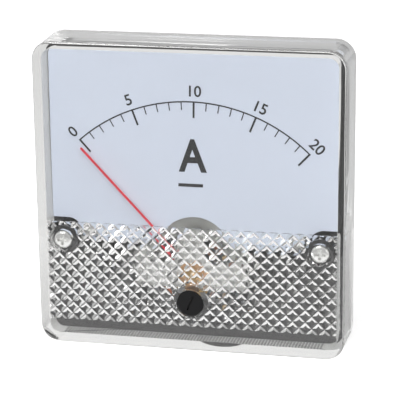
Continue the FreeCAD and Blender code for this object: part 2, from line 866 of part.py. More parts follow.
def front_bridge():
    low = pivot_z - bridge_half_height
    high = pivot_z + bridge_half_height
    bar = block(-pillar_outer_x, pillar_outer_x, bridge_front_y, bridge_back_y, low, high)
    centre = tongue_top_z - tongue_radius
    tongue = block(-tongue_radius, tongue_radius, bridge_front_y, bridge_back_y, pivot_z, centre)
    bridge = bar.fuse(tongue).fuse(rod(tongue_radius, bridge_front_y, bridge_back_y, 0, centre))
    bridge = bridge.cut(rod(jewel_screw_radius + thread_gap, bridge_front_y, bridge_back_y, 0, pivot_z))
    for x in sides:
        hole = bridge_screw_radius + fit_gap
        bridge = bridge.cut(rod(hole, bridge_front_y, bridge_back_y, x * bridge_screw_x, pivot_z))
    return bridge.removeSplitter()


def bridge_screws():
    screws = []
    for x in sides:
        screws.append(
            pan_screw(
                x * bridge_screw_x,
                pivot_z,
                bridge_front_y,
                bridge_screw_head_radius,
                bridge_screw_head_height,
                bridge_screw_radius,
                bridge_screw_length,
                "slot",
            )
        )
    return screws


def front_jewel_screw():
    screw = rod(jewel_screw_radius, jewel_screw_front_y, front_screw_back_y, 0, pivot_z)
    cup_front = front_screw_back_y - jewel_cup_depth
    screw = screw.cut(rod(pivot_pin_radius + fit_gap, cup_front, front_screw_back_y, 0, pivot_z))
    half = jewel_slot_width / 2
    reach = jewel_screw_radius
    end = jewel_screw_front_y + jewel_slot_depth
    return screw.cut(block(-reach, reach, jewel_screw_front_y, end, pivot_z - half, pivot_z + half))


def rear_jewel_screw():
    end = plate_back_y + jewel_nut_height + jewel_screw_rise + jewel_slot_depth
    screw = rod(jewel_screw_radius, rear_screw_front_y, end, 0, pivot_z)
    cup_back = rear_screw_front_y + jewel_cup_depth
    screw = screw.cut(rod(pivot_pin_radius + fit_gap, rear_screw_front_y, cup_back, 0, pivot_z))
    half = jewel_slot_width / 2
    reach = jewel_screw_radius
    return screw.cut(block(-reach, reach, end - jewel_slot_depth, end, pivot_z - half, pivot_z + half))


def jewel_lock_nuts():
    hole = jewel_screw_radius + thread_gap
    nuts = []
    for y in (jewel_nut_front_y, plate_back_y):
        nut = hexagon(jewel_nut_width, y, y + jewel_nut_height, 0, pivot_z)
        nuts.append(nut.cut(rod(hole, y, y + jewel_nut_height, 0, pivot_z)))
    return nuts


def zero_lever():
    half = lever_arm_width / 2
    end = adjuster_z - lever_past_adjuster
    lever = rod(lever_ring_radius, lever_front_y, lever_back_y, 0, pivot_z)
    lever = lever.fuse(block(-half, half, lever_front_y, lever_back_y, end, pivot_z))
    slot = lever_slot_half
    slot_top = adjuster_z + crank_offset + slot
    lever = lever.cut(block(-slot, slot, lever_front_y, lever_back_y, end, slot_top))
    tab_half = lever_tab_width / 2
    tab_front = pivot_z - lever_tab_radius
    tab_low = tab_front - lever_tab_thickness
    tab_end = collet_front_y + spring_height + 2 * fit_gap
    lever = lever.fuse(block(-tab_half, tab_half, lever_front_y, tab_end, tab_low, tab_front))
    return lever.cut(rod(jewel_screw_radius + fit_gap, lever_front_y, lever_back_y, 0, pivot_z))


def spiral_edge(offset, y):
    points = []
    steps = 16 * spring_turns
    for k in range(steps + 1):
        share = k / steps
        angle = -math.pi / 2 - 2 * math.pi * spring_turns * (1 - share)
        r = spring_inner_radius + (spring_outer_radius - spring_inner_radius) * share + offset
        points.append(V(r * math.cos(angle), y, pivot_z + r * math.sin(angle)))
    curve = Part.BSplineCurve()
    curve.interpolate(points)
    return curve.toShape(), points[0], points[-1]


def hairspring(y):
    outer, outer_start, outer_end = spiral_edge(spring_strip / 2, y)
    inner, inner_start, inner_end = spiral_edge(-spring_strip / 2, y)
    ends = [Part.makeLine(outer_end, inner_end), Part.makeLine(inner_start, outer_start)]
    wire = Part.Wire([outer, ends[0], inner, ends[1]])
    return Part.Face(wire).extrude(V(0, spring_height, 0))


def front_hairspring():
    return hairspring(collet_front_y + fit_gap)


def rear_hairspring():
    return hairspring(rear_collet_y + fit_gap)


def rear_spring_anchor():
    half = lever_tab_width / 2
    top = pivot_z - lever_tab_radius
    low = top - lever_tab_thickness
    foot = low - anchor_foot
    plate_top = plate_front_y - lever_tab_thickness
    post = block(-half, half, rear_collet_y, plate_front_y, low, top)
    return post.fuse(block(-2 * half, 2 * half, plate_top, plate_front_y, foot, top))


def terminal_studs():
    studs = []
    stud_end = terminal_nut_y + terminal_nut_height + terminal_end_length
    collar_front = floor_y - terminal_collar_height
    for x in sides:
        at = x * terminal_x
        stud = hexagon(terminal_collar_width, collar_front, floor_y, at, 0)
        bevel = terminal_radius * terminal_bevel
        profile = [
            (0, collar_front - terminal_neck_length),
            (terminal_neck_radius, collar_front - terminal_neck_length),
            (terminal_neck_radius, collar_front),
            (terminal_radius, collar_front),
            (terminal_radius, stud_end - bevel),
            (terminal_radius - bevel, stud_end),
            (0, stud_end),
        ]
        studs.append(stud.fuse(revolved(profile, at, 0)))
    return studs


def nut(width, hole, y0, height, x):
    body = hexagon(width, y0, y0 + height, x, 0, height * nut_bevel)
    return body.cut(rod(hole, y0, y0 + height, x, 0))


def terminal_inner_nuts():
    y = floor_y - terminal_collar_height - tag_thickness - inner_nut_height
    hole = terminal_neck_radius + thread_gap
    return [nut(inner_nut_width, hole, y, inner_nut_height, x * terminal_x) for x in sides]


def solder_tags():
    tags = []
    back = floor_y - terminal_collar_height
    front = back - tag_thickness
    half = tag_half / 2
    for x in sides:
        at = x * terminal_x
        tag = rod(tag_half, front, back, at, 0).fuse(block(at - half, at + half, front, back, 0, tag_reach))
        tag = tag.cut(rod(terminal_neck_radius + thread_gap, front, back, at, 0))
        tags.append(tag.cut(rod(half / 2, front, back, at, tag_reach - half)))
    return tags


def terminal_fixing_nuts():
    hole = terminal_radius + thread_gap
    return [nut(outer_nut_width, hole, pad_back_y, fixing_nut_height, x * terminal_x) for x in sides]


def terminal_washers():
    hole = terminal_radius + 2 * screw_gap
    return [tube(washer_radius, hole, washer_y, spring_washer_y, x * terminal_x, 0) for x in sides]


def terminal_spring_washers():
    rings = []
    hole = terminal_radius + screw_gap
    gap = spring_washer_thickness * washer_split
    lean = spring_washer_thickness * washer_lean
    for x in sides:
        at = x * terminal_x
        ring = tube(spring_washer_radius, hole, spring_washer_y, terminal_nut_y, at, 0)
        corners = [
            V(at - gap - lean, spring_washer_y, 0),
            V(at + gap - lean, spring_washer_y, 0),
            V(at + gap + lean, terminal_nut_y, 0),
            V(at - gap + lean, terminal_nut_y, 0),
        ]
        corners.append(corners[0])
        split = Part.Face(Part.makePolygon(corners)).extrude(V(0, 0, washer_radius))
        rings.append(ring.cut(split))
    return rings


def terminal_nuts():
    hole = terminal_radius + thread_gap
    return [nut(outer_nut_width, hole, terminal_nut_y, terminal_nut_height, x * terminal_x) for x in sides]


def stud_root(x, z, end, gap):
    head_back = -flange_thickness / 2
    head = rod(stud_root_radius + gap, head_back - stud_root_length, head_back, x, z)
    return head.fuse(rod(stud_neck_radius + gap, head_back, end, x, z))


def mounting_studs():
    studs = []
    bevel = stud_radius * stud_bevel
    bevel_y = stud_length - bevel
    for x in sides:
        for z in sides:
            root = stud_root(x * stud_at, z * stud_at, stud_neck_length, 0)
            shank = rod(stud_radius, stud_neck_length, bevel_y, x * stud_at, z * stud_at)
            place = V(x * stud_at, bevel_y, z * stud_at)
            tip = Part.makeCone(stud_radius, stud_radius - bevel, bevel, place, V(0, 1, 0))
            studs.append(shank.fuse(root).fuse(tip))
    return studs


def resistor_bobbin():
    front = floor_y - bobbin_length
    flange = bobbin_flange
    profile = [
        (bobbin_post_radius + thread_gap, front),
        (bobbin_radius, front),
        (bobbin_radius, front + flange),
        (bobbin_core_radius, front + flange),
        (bobbin_core_radius, floor_y - flange),
        (bobbin_radius, floor_y - flange),
        (bobbin_radius, floor_y),
        (bobbin_post_radius + thread_gap, floor_y),
    ]
    return revolved(profile, 0, bobbin_z)


def resistor_winding():
    front = floor_y - bobbin_length + bobbin_flange
    inner = bobbin_core_radius + thread_gap
    return tube(bobbin_radius - bobbin_winding_gap, inner, front, floor_y - bobbin_flange, 0, bobbin_z)


def rounded_path(points, radius):
    edges = []
    start = points[0]
    for k in range(1, len(points) - 1):
        before = (points[k] - points[k - 1]).normalize()
        after = (points[k + 1] - points[k]).normalize()
        turn = math.acos(before.dot(after))
        cut = radius * math.tan(turn / 2)
        first = points[k] - before * cut
        last = points[k] + after * cut
        inward = (after - before).normalize()
        middle = points[k] + inward * (radius / math.cos(turn / 2) - radius)
        edges.append(Part.makeLine(start, first))
        edges.append(Part.Arc(first, middle, last).toShape())
        start = last
    edges.append(Part.makeLine(start, points[-1]))
    return Part.Wire(edges)


def lead(points):
    path = rounded_path(points, lead_bend_radius)
    circle = Part.Circle(points[0], points[1] - points[0], lead_radius)
    profile = Part.Wire([circle.toShape()])
    return path.makePipeShell([profile], True, False)


def tag_eye(side):
    tag_front = floor_y - terminal_collar_height - tag_thickness
    return V(side * terminal_x, tag_front, tag_reach - tag_half / 2)


def anchor_lead():
    eye = tag_eye(-1)
    run_y = eye.y - lead_rise
    foot_z = pivot_z - lever_tab_radius - lever_tab_thickness - anchor_foot
    wire_y = plate_front_y - lever_tab_thickness / 2
    low = pivot_z - lead_low_drop
    points = [
        eye,
        V(eye.x, run_y, eye.z),
        V(lead_side_x, run_y, eye.z),
        V(lead_side_x, run_y, pivot_z - lead_turn_drop),
        V(0, run_y, low),
        V(0, wire_y, low),
        V(0, wire_y, foot_z),
    ]
    return lead(points)


def resistor_lead():
    eye = tag_eye(1)
    winding_y = floor_y - bobbin_length + bobbin_flange + bobbin_post_radius
    winding_x = bobbin_radius - bobbin_winding_gap
    points = [
        eye,
        V(eye.x, winding_y, eye.z),
        V(eye.x, winding_y, bobbin_z),
        V(winding_x, winding_y, bobbin_z),
    ]
    return lead(points)


def frame_lead():
    winding_y = floor_y - bobbin_length + bobbin_flange + bobbin_post_radius
    low = bobbin_z - bobbin_radius + bobbin_winding_gap
    wire_y = plate_front_y + frame_plate_thickness / 2
    points = [
        V(0, winding_y, low),
        V(0, winding_y, low - lead_rise),
        V(0, wire_y, low - 2 * lead_rise),
        V(0, wire_y, frame_plate_top),
    ]
    return lead(points)


def write(name, solids):
    shape = Part.makeCompound(solids) if isinstance(solids, list) else solids
    for solid in shape.Solids:
        if not solid.isValid():
            raise ValueError(name + " is not a valid solid")
    expected = len(solids) if isinstance(solids, list) else 1
    if len(shape.Solids) != expected:
        raise ValueError(name + " has %d solids, not %d" % (len(shape.Solids), expected))
    if not isinstance(solids, list):
        shape = shape.Solids[0]
    shape.exportStep("parts/" + name + ".step")
    print(name, len(shape.Faces), round(shape.Volume, 3))


builders = (
    base_housing,
    front_cover,
    cover_screws,
    dial_plate,
    dial_screws,
    needle_stops,
    movement_frame,
    movement_screws,
    yoke_ring,
    magnet_core,
    core_spacers,
    front_bridge,
    bridge_screws,
    front_jewel_screw,
    rear_jewel_screw,
    jewel_lock_nuts,
    rear_spring_anchor,
    coil_former,
    coil_winding,
    coil_pivots,
    needle_hub,
    needle,
    balance_weights,
    front_hairspring,
    rear_hairspring,
    zero_adjuster,
    zero_lever,
    terminal_studs,
    terminal_inner_nuts,
    solder_tags,
    terminal_fixing_nuts,
    terminal_washers,
    terminal_spring_washers,
    terminal_nuts,
    mounting_studs,
    resistor_bobbin,
    resistor_winding,
    anchor_lead,
    resistor_lead,
    frame_lead,
)

for builder in builders:
    write(builder.__name__, builder())
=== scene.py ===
import json
import math

import bmesh
import bpy
from mathutils import Matrix, Vector


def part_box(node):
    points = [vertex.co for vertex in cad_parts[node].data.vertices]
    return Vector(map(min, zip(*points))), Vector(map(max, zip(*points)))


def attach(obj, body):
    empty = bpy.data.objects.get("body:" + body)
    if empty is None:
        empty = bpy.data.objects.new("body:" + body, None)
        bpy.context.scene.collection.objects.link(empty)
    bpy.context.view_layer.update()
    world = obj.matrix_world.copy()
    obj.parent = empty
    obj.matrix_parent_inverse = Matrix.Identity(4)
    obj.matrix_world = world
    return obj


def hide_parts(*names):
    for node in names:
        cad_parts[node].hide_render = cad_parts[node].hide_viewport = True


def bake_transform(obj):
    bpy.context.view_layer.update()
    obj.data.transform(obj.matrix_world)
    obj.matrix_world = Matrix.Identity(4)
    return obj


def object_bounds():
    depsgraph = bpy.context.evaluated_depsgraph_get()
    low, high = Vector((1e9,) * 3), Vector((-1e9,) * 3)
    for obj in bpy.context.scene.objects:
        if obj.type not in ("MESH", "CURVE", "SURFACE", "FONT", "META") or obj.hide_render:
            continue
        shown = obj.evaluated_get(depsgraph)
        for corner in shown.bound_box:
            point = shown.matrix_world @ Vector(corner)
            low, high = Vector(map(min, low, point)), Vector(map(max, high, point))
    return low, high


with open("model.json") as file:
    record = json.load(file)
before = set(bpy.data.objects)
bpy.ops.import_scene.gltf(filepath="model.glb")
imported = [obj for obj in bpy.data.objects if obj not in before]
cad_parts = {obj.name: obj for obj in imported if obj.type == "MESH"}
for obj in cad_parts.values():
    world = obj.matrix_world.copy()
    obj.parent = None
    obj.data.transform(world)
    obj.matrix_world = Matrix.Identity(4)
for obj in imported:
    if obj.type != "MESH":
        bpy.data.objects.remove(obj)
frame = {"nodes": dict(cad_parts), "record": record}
cad_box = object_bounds()

MM = 0.001
X_AXIS, Y_AXIS, Z_AXIS = 0, 1, 2
WHITE = (1, 1, 1, 1)
BLACK = (0, 0, 0, 1)

# Camera, from the photograph's perspective, in metres and degrees
CAMERA_PLACE = (0.10076, -0.44392, 0.13118)
CAMERA_TURN = (73.5153, 0.6528, 12.6079)
CAMERA_LENS = 165.68

# Surroundings, in metres, watts and shares of white
AMBIENT_LEVEL = 0.55
ROOM_LEVEL = 0.5
ROOM_TURN = 0.5
FLOOR_SEEN = 0.55
FLOOR_REFLECTED = 0.15
FLOOR_FRONT = -0.1
FLOOR_REACH = 3.0
FLOOR_GAP = 0.0005
KEY_PLACE = (-0.35, -0.6, 0.7)
KEY_POWER = 7.0
FILL_PLACE = (0.7, -0.5, 0.3)
FILL_POWER = 3.5
LAMP_SIZE = 0.6

# Bounces of light that the many layers of the clear cover need
CLEAR_BOUNCES = 40
GLOSSY_BOUNCES = 12

# Sizes of the dial's print, in millimetres and degrees
SCALE_X = -0.6
SCALE_Z = -19.66
SCALE_RADIUS = 43.7
SCALE_FIRST = -41.6
SCALE_LAST = 43.8
SCALE_LINE = 0.36
ARC_STEPS = 96
MAJOR_TICK = 4.3
MAJOR_WIDTH = 0.5
MINOR_TICK = 2.3
MINOR_WIDTH = 0.3
SCALE_FIGURES = (0, 5, 10, 15, 20)
MINOR_STEPS = 5
FIGURE_RADIUS = 46.3
FIGURE_HEIGHT = 2.75
FIGURE_WEIGHT = 0.06
UNIT_HEIGHT = 8.2
UNIT_MIDDLE = (-0.2, 9.65)
UNIT_WIDTH_SHARE = 0.845
UNIT_WEIGHT = 0.28
BAR_MIDDLE = (-0.8, 2.4)
BAR_WIDTH = 6.4
BAR_HEIGHT = 0.85
PRINT_LAYER = 0.02
PRINT_BODY = "housing"
CAPITAL_SHARE = 0.7

# Springs that wind between the housing at their outer end and the moving coil at their inner end
HAIRSPRINGS = ("front_hairspring", "rear_hairspring")
HAIRSPRING_SPAN = (-23.75, -20.8)

# Clear plastic and floor, in screen values of 0 to 255 and shares of light
CLEAR_TINT = (230, 230, 229)
CLEAR_INDEX = 1.59
SHADOW_TINT = (0.96, 0.96, 0.96, 1.0)
# Painted shade for the dark stripes across the flutes; white gives their painted highlight
FLUTE_PAINTED_SHADE = (130, 130, 130)
FLOOR_GREY = (236, 236, 236)
FLOOR_ROUGHNESS = 0.9

# Pitch of threads and of wound wire, in millimetres
WIRE_PITCH = 0.2
MOUNTING_THREAD_PITCH = 0.5
TERMINAL_THREAD_PITCH = 0.7

# Sizes of the cover's inside, in millimetres
INNER_WALL = 37.6
WINDOW_BACK = -11.5
WALL_SLACK = 0.3
WALL_BAND = 1.0
WALL_INSIDE = 1.2
WALL_OUTSIDE = 0.1
LEVEL_SLACK = 0.1
PATTERN_TOP = -7.4
FLUTE_PITCH = 0.8
FLUTE_DEPTH = 0.25
FLUTED_HALF = 34.4
FLUTE_BACK = -5.0
TIP_LEVEL = -10.93
GROOVE_LEVEL = -11.44
PATTERN_BACK = -10.4

# Places among the cover's materials; the last carries stripes of painted shade and highlight across the
# flutes
CLEAR_FACE, DULL_FACE, FLUTE_PAINTED_SHADE_FACE = 0, 1, 2

# Tolerances of the mesh work, in metres, degrees and shares
MERGE_DISTANCE = 0.000002
LEVEL_CUT = 0.000001
FLUTE_CUT = 0.0000001
SHARP_ANGLE = 28.0
FACING_SHARE = 0.9
UPRIGHT_SHARE = 0.1
STEP_SLACK = 0.01

# Colour sockets of a Mix node, which follow those for numbers and vectors
MIX_FIRST = 6
MIX_SECOND = 7
MIX_RESULT = 2


def rgb(colour):
    """Linear colour from screen values of 0 to 255."""
    parts = []
    for part in colour:
        share = part / 255
        parts.append(share / 12.92 if share <= 0.04045 else ((share + 0.055) / 1.055) ** 2.4)
    return (*parts, 1.0)


def shaded(colour, factor):
    return (*(min(1.0, part * factor) for part in colour[:3]), 1.0)


class Value:
    """A number that changes over a surface; sums written on it add Math nodes."""

    def __init__(self, nodes, socket):
        self.nodes = nodes
        self.socket = socket

    def math(self, operation, *others):
        return self.nodes.math(operation, self, *others)

    def __add__(self, other):
        return self.nodes.math("ADD", self, other)

    def __radd__(self, other):
        return self.nodes.math("ADD", other, self)

    def __sub__(self, other):
        return self.nodes.math("SUBTRACT", self, other)

    def __rsub__(self, other):
        return self.nodes.math("SUBTRACT", other, self)

    def __mul__(self, other):
        return self.nodes.math("MULTIPLY", self, other)

    def __rmul__(self, other):
        return self.nodes.math("MULTIPLY", other, self)

    def __truediv__(self, other):
        return self.nodes.math("DIVIDE", self, other)

    def __rtruediv__(self, other):
        return self.nodes.math("DIVIDE", other, self)


class Nodes:
    """The nodes of one tree, all made by the same method."""

    def __init__(self, tree):
        self.tree = tree

    def node(self, kind, inputs=None, **settings):
        made = self.tree.nodes.new(kind)
        for label, setting in settings.items():
            setattr(made, label, setting)
        for label, given in (inputs or {}).items():
            self.feed(made.inputs[label], given)
        return made

    def feed(self, socket, given):
        if isinstance(given, Value):
            given = given.socket
        if isinstance(given, bpy.types.NodeSocket):
            self.tree.links.new(given, socket)
        else:
            socket.default_value = given

    def math(self, operation, *terms):
        made = self.node("ShaderNodeMath", dict(enumerate(terms)), operation=operation)
        return Value(self, made.outputs[0])


class Finish(Nodes):
    """One material: a Principled shader and the nodes that vary it."""

    def __init__(self, name, colour, roughness, metallic=0.0, **numbers):
        self.material = bpy.data.materials.new(name)
        self.material.use_nodes = True
        super().__init__(self.material.node_tree)
        self.shader = self.tree.nodes["Principled BSDF"]
        self.output = self.tree.nodes["Material Output"]
        self.colour = rgb(colour)
        self.roughness = roughness
        self.shader.inputs["Base Color"].default_value = self.colour
        self.shader.inputs["Roughness"].default_value = roughness
        self.shader.inputs["Metallic"].default_value = metallic
        for label, number in numbers.items():
            self.shader.inputs[label.replace("_", " ")].default_value = number
        self.place = self.node("ShaderNodeTexCoord").outputs["Object"]

    def set(self, label, given):
        self.feed(self.shader.inputs[label], given)

    def along(self, axis):
        parts = self.node("ShaderNodeSeparateXYZ", {0: self.place})
        return Value(self, parts.outputs[axis])

    def noise(self, scale, detail=3.0):
        made = self.node("ShaderNodeTexNoise", {"Vector": self.place, "Scale": scale, "Detail": detail})
        return Value(self, made.outputs[0])

    def blend(self, share, first, second):
        made = self.node(
            "ShaderNodeMix",
            {"Factor": share, MIX_FIRST: first, MIX_SECOND: second},
            data_type="RGBA",
        )
        return made.outputs[MIX_RESULT]

    def tone(self, share, dark, light):
        """The finish's own colour, between a darker and a lighter shade."""
        self.set("Base Color", self.blend(share, shaded(self.colour, dark), shaded(self.colour, light)))

    def roughen(self, change, below):
        """Roughness that starts a little below the finish's own and rises with the change."""
        self.set("Roughness", change + (self.roughness - below))

    def bump(self, height, depth, strength):
        made = self.node("ShaderNodeBump", {"Height": height, "Strength": strength, "Distance": depth})
        self.set("Normal", made.outputs[0])


def moulding(name, colour, roughness, shine=0.5):
    finish = Finish(name, colour, roughness, Specular_IOR_Level=shine)
    broad = finish.noise(scale=60.0, detail=2.0)
    finish.tone(broad, dark=0.85, light=1.25)
    finish.roughen(broad * 0.15, below=0.07)
    finish.bump(finish.noise(scale=900.0, detail=4.0), depth=0.00001, strength=0.6)
    return finish.material


def metal(name, colour, roughness, relief=0.000004):
    finish = Finish(name, colour, roughness, metallic=1.0)
    streaks = finish.noise(scale=1400.0)
    broad = finish.noise(scale=180.0)
    finish.tone(broad, dark=0.82, light=1.1)
    finish.roughen(broad * 0.16 + streaks * 0.08, below=0.12)
    finish.bump(streaks, depth=relief, strength=0.5)
    return finish.material


def painted(name, colour, roughness, mottle):
    finish = Finish(name, colour, roughness)
    broad = finish.noise(scale=45.0, detail=2.0)
    finish.tone(broad, dark=1.0 - mottle, light=1.0 + mottle)
    finish.roughen(broad * 0.1, below=0.05)
    finish.bump(finish.noise(scale=2500.0), depth=0.000003, strength=0.5)
    return finish.material


def wire_turns(name, colour):
    """Many fine turns side by side: round ridges along the depth axis, with painted shade between the
    turns and painted highlight on their crests.
    """
    finish = Finish(name, colour, roughness=0.32, metallic=0.85)
    pitch = WIRE_PITCH * MM
    phase = finish.along(Y_AXIS) * (2 * math.pi / pitch)
    ridge_and_painted_shade = phase.math("SINE") * 0.5 + 0.5
    # Painted shade between the turns, painted highlight on their crests
    finish.tone(ridge_and_painted_shade, dark=0.35, light=1.15)
    finish.bump(ridge_and_painted_shade, depth=pitch * 0.4, strength=0.8)
    return finish.material


def threaded(name, colour, thread_pitch):
    """A metal rod with a thread's ridges along the depth axis, with painted shade in the thread's grooves
    and painted highlight on its crests.
    """
    finish = Finish(name, colour, roughness=0.35, metallic=1.0)
    half = thread_pitch * MM / 2
    ridge_and_painted_shade = finish.along(Y_AXIS).math("PINGPONG", half) / half
    # Painted shade in the thread's grooves, painted highlight on its crests
    finish.tone(ridge_and_painted_shade, dark=0.35, light=1.1)
    finish.roughen(finish.noise(scale=180.0) * 0.16, below=0.1)
    finish.bump(ridge_and_painted_shade, depth=half, strength=1.0)
    return finish.material


def clear_plastic(name, clear=1.0, roughness=0.0, painted_flute_shade=False):
    """Clear polystyrene that lets shadow rays through, so the dial is lit; on walls with flutes, stripes
    of painted shade and painted highlight run across them.
    """
    finish = Finish(name, CLEAR_TINT, roughness, IOR=CLEAR_INDEX, Transmission_Weight=clear)
    finish.roughen(finish.noise(scale=35.0) * 0.02, below=0.0)
    # Stripes of painted shade and painted highlight across the flutes, in the base colour
    if painted_flute_shade:
        half = FLUTE_PITCH * MM / 2
        ridge_and_painted_shade = (finish.along(X_AXIS) + finish.along(Z_AXIS)).math("PINGPONG", half) / half
        finish.set("Base Color", finish.blend(ridge_and_painted_shade, rgb(FLUTE_PAINTED_SHADE), WHITE))
    path = finish.node("ShaderNodeLightPath").outputs
    passing = finish.node("ShaderNodeBsdfTransparent", {"Color": SHADOW_TINT})
    mixed = finish.node(
        "ShaderNodeMixShader",
        {0: path["Is Shadow Ray"], 1: finish.shader.outputs[0], 2: passing.outputs[0]},
    )
    finish.feed(finish.output.inputs[0], mixed.outputs[0])
    return finish.material


MATERIALS = {
    "clear_cover": clear_plastic("clear_polystyrene"),
    "black_moulding": moulding("black_moulding", (34, 33, 34), 0.5),
    "black_disc": moulding("black_disc", (14, 14, 15), 0.4, shine=0.2),
    "dial_white": painted("dial_white", (216, 224, 240), 0.5, mottle=0.015),
    "needle_red": painted("needle_red", (226, 40, 60), 0.4, mottle=0.05),
    "bright_plate": metal("bright_plate", (232, 232, 230), 0.25),
    "terminal_plate": metal("terminal_plate", (200, 194, 178), 0.28),
    "steel": metal("plain_steel", (150, 150, 152), 0.35),
    "cast_frame": metal("cast_frame", (190, 191, 188), 0.5, relief=0.00002),
    "magnet": metal("ground_magnet", (120, 118, 114), 0.45),
    "brass": metal("turned_brass", (205, 165, 95), 0.28),
    "bronze": metal("phosphor_bronze", (222, 168, 110), 0.3),
    "copper_wire": wire_turns("copper_wire", (196, 104, 50)),
    "resistance_wire": wire_turns("resistance_wire", (120, 88, 60)),
    "former_sheet": metal("former_sheet", (205, 205, 205), 0.3),
    "bobbin_moulding": moulding("bobbin_moulding", (205, 198, 180), 0.45),
    "lead_sleeve": moulding("lead_sleeve", (150, 30, 28), 0.45),
}
# Threads on the studs carry painted shade in their grooves and painted highlight on their crests
THREADS = {
    "mounting_studs": threaded("mounting_thread", (158, 158, 160), MOUNTING_THREAD_PITCH),
    "terminal_studs": threaded("terminal_thread", (200, 190, 160), TERMINAL_THREAD_PITCH),
}
INNER_WALL_FINISH = clear_plastic("inner_wall", clear=0.5, roughness=0.3)
# Mostly matt finish for the walls with flutes, with stripes of painted shade and highlight
FLUTE_PAINTED_SHADE_FINISH = clear_plastic("fluted_wall_painted_shade", clear=0.2, roughness=0.3, painted_flute_shade=True)
INK = painted("dial_ink", (14, 14, 18), 0.7, mottle=0.1)
FINE_INK = painted("fine_ink", (52, 52, 60), 0.7, mottle=0.1)


def slot_of(node):
    for entry in frame["record"]["subparts"]:
        if entry["node"] == node:
            return entry["material_slot"]
    raise KeyError(node)


def body_of(node):
    for body, members in frame["record"]["behaviour"]["bodies"].items():
        if node in members:
            return body
    raise KeyError(node)


def new_piece(name, mesh, body, material):
    piece = bpy.data.objects.new(name, mesh)
    bpy.context.scene.collection.objects.link(piece)
    mesh.materials.clear()
    mesh.materials.append(material)
    if body:
        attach(piece, body)
    return piece


def in_pattern(place):
    level = (WINDOW_BACK - LEVEL_SLACK) * MM < place.y < PATTERN_BACK * MM
    return level and place.z < PATTERN_TOP * MM and abs(place.x) < (INNER_WALL - WALL_SLACK) * MM


def is_fluted(place):
    wide, low = abs(place.x), -place.z
    near = abs(max(wide, low) - (INNER_WALL - FLUTE_DEPTH / 2) * MM) < WALL_SLACK * MM
    inside = (WINDOW_BACK + LEVEL_SLACK) * MM < place.y < FLUTE_BACK * MM
    in_span = place.z < PATTERN_TOP * MM and min(wide, low) < FLUTED_HALF * MM
    return near and inside and in_span


def cut_faces(shape, faces, normal, at, slack):
    """Cuts the given faces where one plane crosses them."""
    parts = dict.fromkeys(faces)
    for face in faces:
        parts.update(dict.fromkeys(face.edges))
        parts.update(dict.fromkeys(face.verts))
    place = normal * (at * MM)
    bmesh.ops.bisect_plane(shape, geom=list(parts), dist=slack, plane_co=place, plane_no=normal)


def level_off(shape, level, beyond):
    """Flattens the pattern past one level: its tips, or the bottoms of its grooves."""
    faces = [face for face in shape.faces if in_pattern(face.calc_center_median())]
    cut_faces(shape, faces, Vector((0.0, 1.0, 0.0)), level, LEVEL_CUT)
    for vert in shape.verts:
        if in_pattern(vert.co) and (vert.co.y - level * MM) * beyond > 0:
            vert.co.y = level * MM


def wall_faces(shape, across, level, limit):
    """The faces of one flat inner wall that look inward, as far back as a limit."""
    inward = -math.copysign(1.0, level)
    faces = []
    for face in shape.faces:
        middle = face.calc_center_median()
        near = abs(middle[across] - level * MM) < WALL_SLACK * MM and middle.y < limit * MM
        if near and face.normal[across] * inward > FACING_SHARE:
            faces.append(face)
    return faces


def flute_wall(shape, across, level, along, first, last):
    """Fine flutes across one inner wall of the cover, cut into its flat face."""
    half = FLUTE_PITCH / 2
    steps = (last - first) / half
    cut_faces(shape, wall_faces(shape, across, level, 0.0), Vector((0.0, 1.0, 0.0)), FLUTE_BACK, FLUTE_CUT)
    normal = Vector([1.0 if axis == along else 0.0 for axis in range(3)])
    for k in range(int(steps) + 1):
        cut_faces(shape, wall_faces(shape, across, level, FLUTE_BACK), normal, first + k * half, FLUTE_CUT)
    ridges = set()
    for face in wall_faces(shape, across, level, FLUTE_BACK):
        for vert in face.verts:
            step = (vert.co[along] / MM - first) / half
            on_cut = -0.5 < step < steps + 0.5 and abs(step - round(step)) < STEP_SLACK
            if on_cut and round(step) % 2 == 1:
                ridges.add(vert)
    for vert in ridges:
        vert.co[across] -= math.copysign(FLUTE_DEPTH * MM, level)


def finish_cover(shape):
    level_off(shape, TIP_LEVEL, 1)
    level_off(shape, GROOVE_LEVEL, -1)
    flute_wall(shape, Z_AXIS, -INNER_WALL, X_AXIS, -FLUTED_HALF, FLUTED_HALF)
    for side in (-INNER_WALL, INNER_WALL):
        flute_wall(shape, X_AXIS, side, Z_AXIS, -FLUTED_HALF, PATTERN_TOP)


def wall_finish(face):
    """Flutes on the right and lower inner walls, with stripes of painted shade and highlight; a duller
    left and lower wall; the rest clear.
    """
    x, z = face.center.x / MM, face.center.z / MM
    reach = max(abs(x), abs(z))
    upright = abs(face.normal.y) < UPRIGHT_SHARE and face.normal.x * x + face.normal.z * z < 0
    if not upright or not INNER_WALL - WALL_INSIDE < reach < INNER_WALL + WALL_OUTSIDE:
        return CLEAR_FACE
    # Faces with flutes take the finish with stripes of painted shade and highlight
    if is_fluted(face.center) and x > WALL_BAND - INNER_WALL:
        return FLUTE_PAINTED_SHADE_FACE
    return DULL_FACE if min(x, z) < WALL_BAND - INNER_WALL else CLEAR_FACE


def merged_mesh(node):
    """A merged copy of a CAD node's mesh, smooth across its curved faces."""
    mesh = frame["nodes"][node].data.copy()
    mesh.name = node + "_finish"
    shape = bmesh.new()
    shape.from_mesh(mesh)
    bmesh.ops.remove_doubles(shape, verts=shape.verts, dist=MERGE_DISTANCE)
    is_cover = node == "front_cover"
    if is_cover:
        finish_cover(shape)
    for face in shape.faces:
        middle = face.calc_center_median()
        face.smooth = not (is_cover and (in_pattern(middle) or is_fluted(middle)))
    for edge in shape.edges:
        if len(edge.link_faces) == 2:
            edge.smooth = edge.calc_face_angle(math.pi) < math.radians(SHARP_ANGLE)
    shape.to_mesh(mesh)
    shape.free()
    return mesh


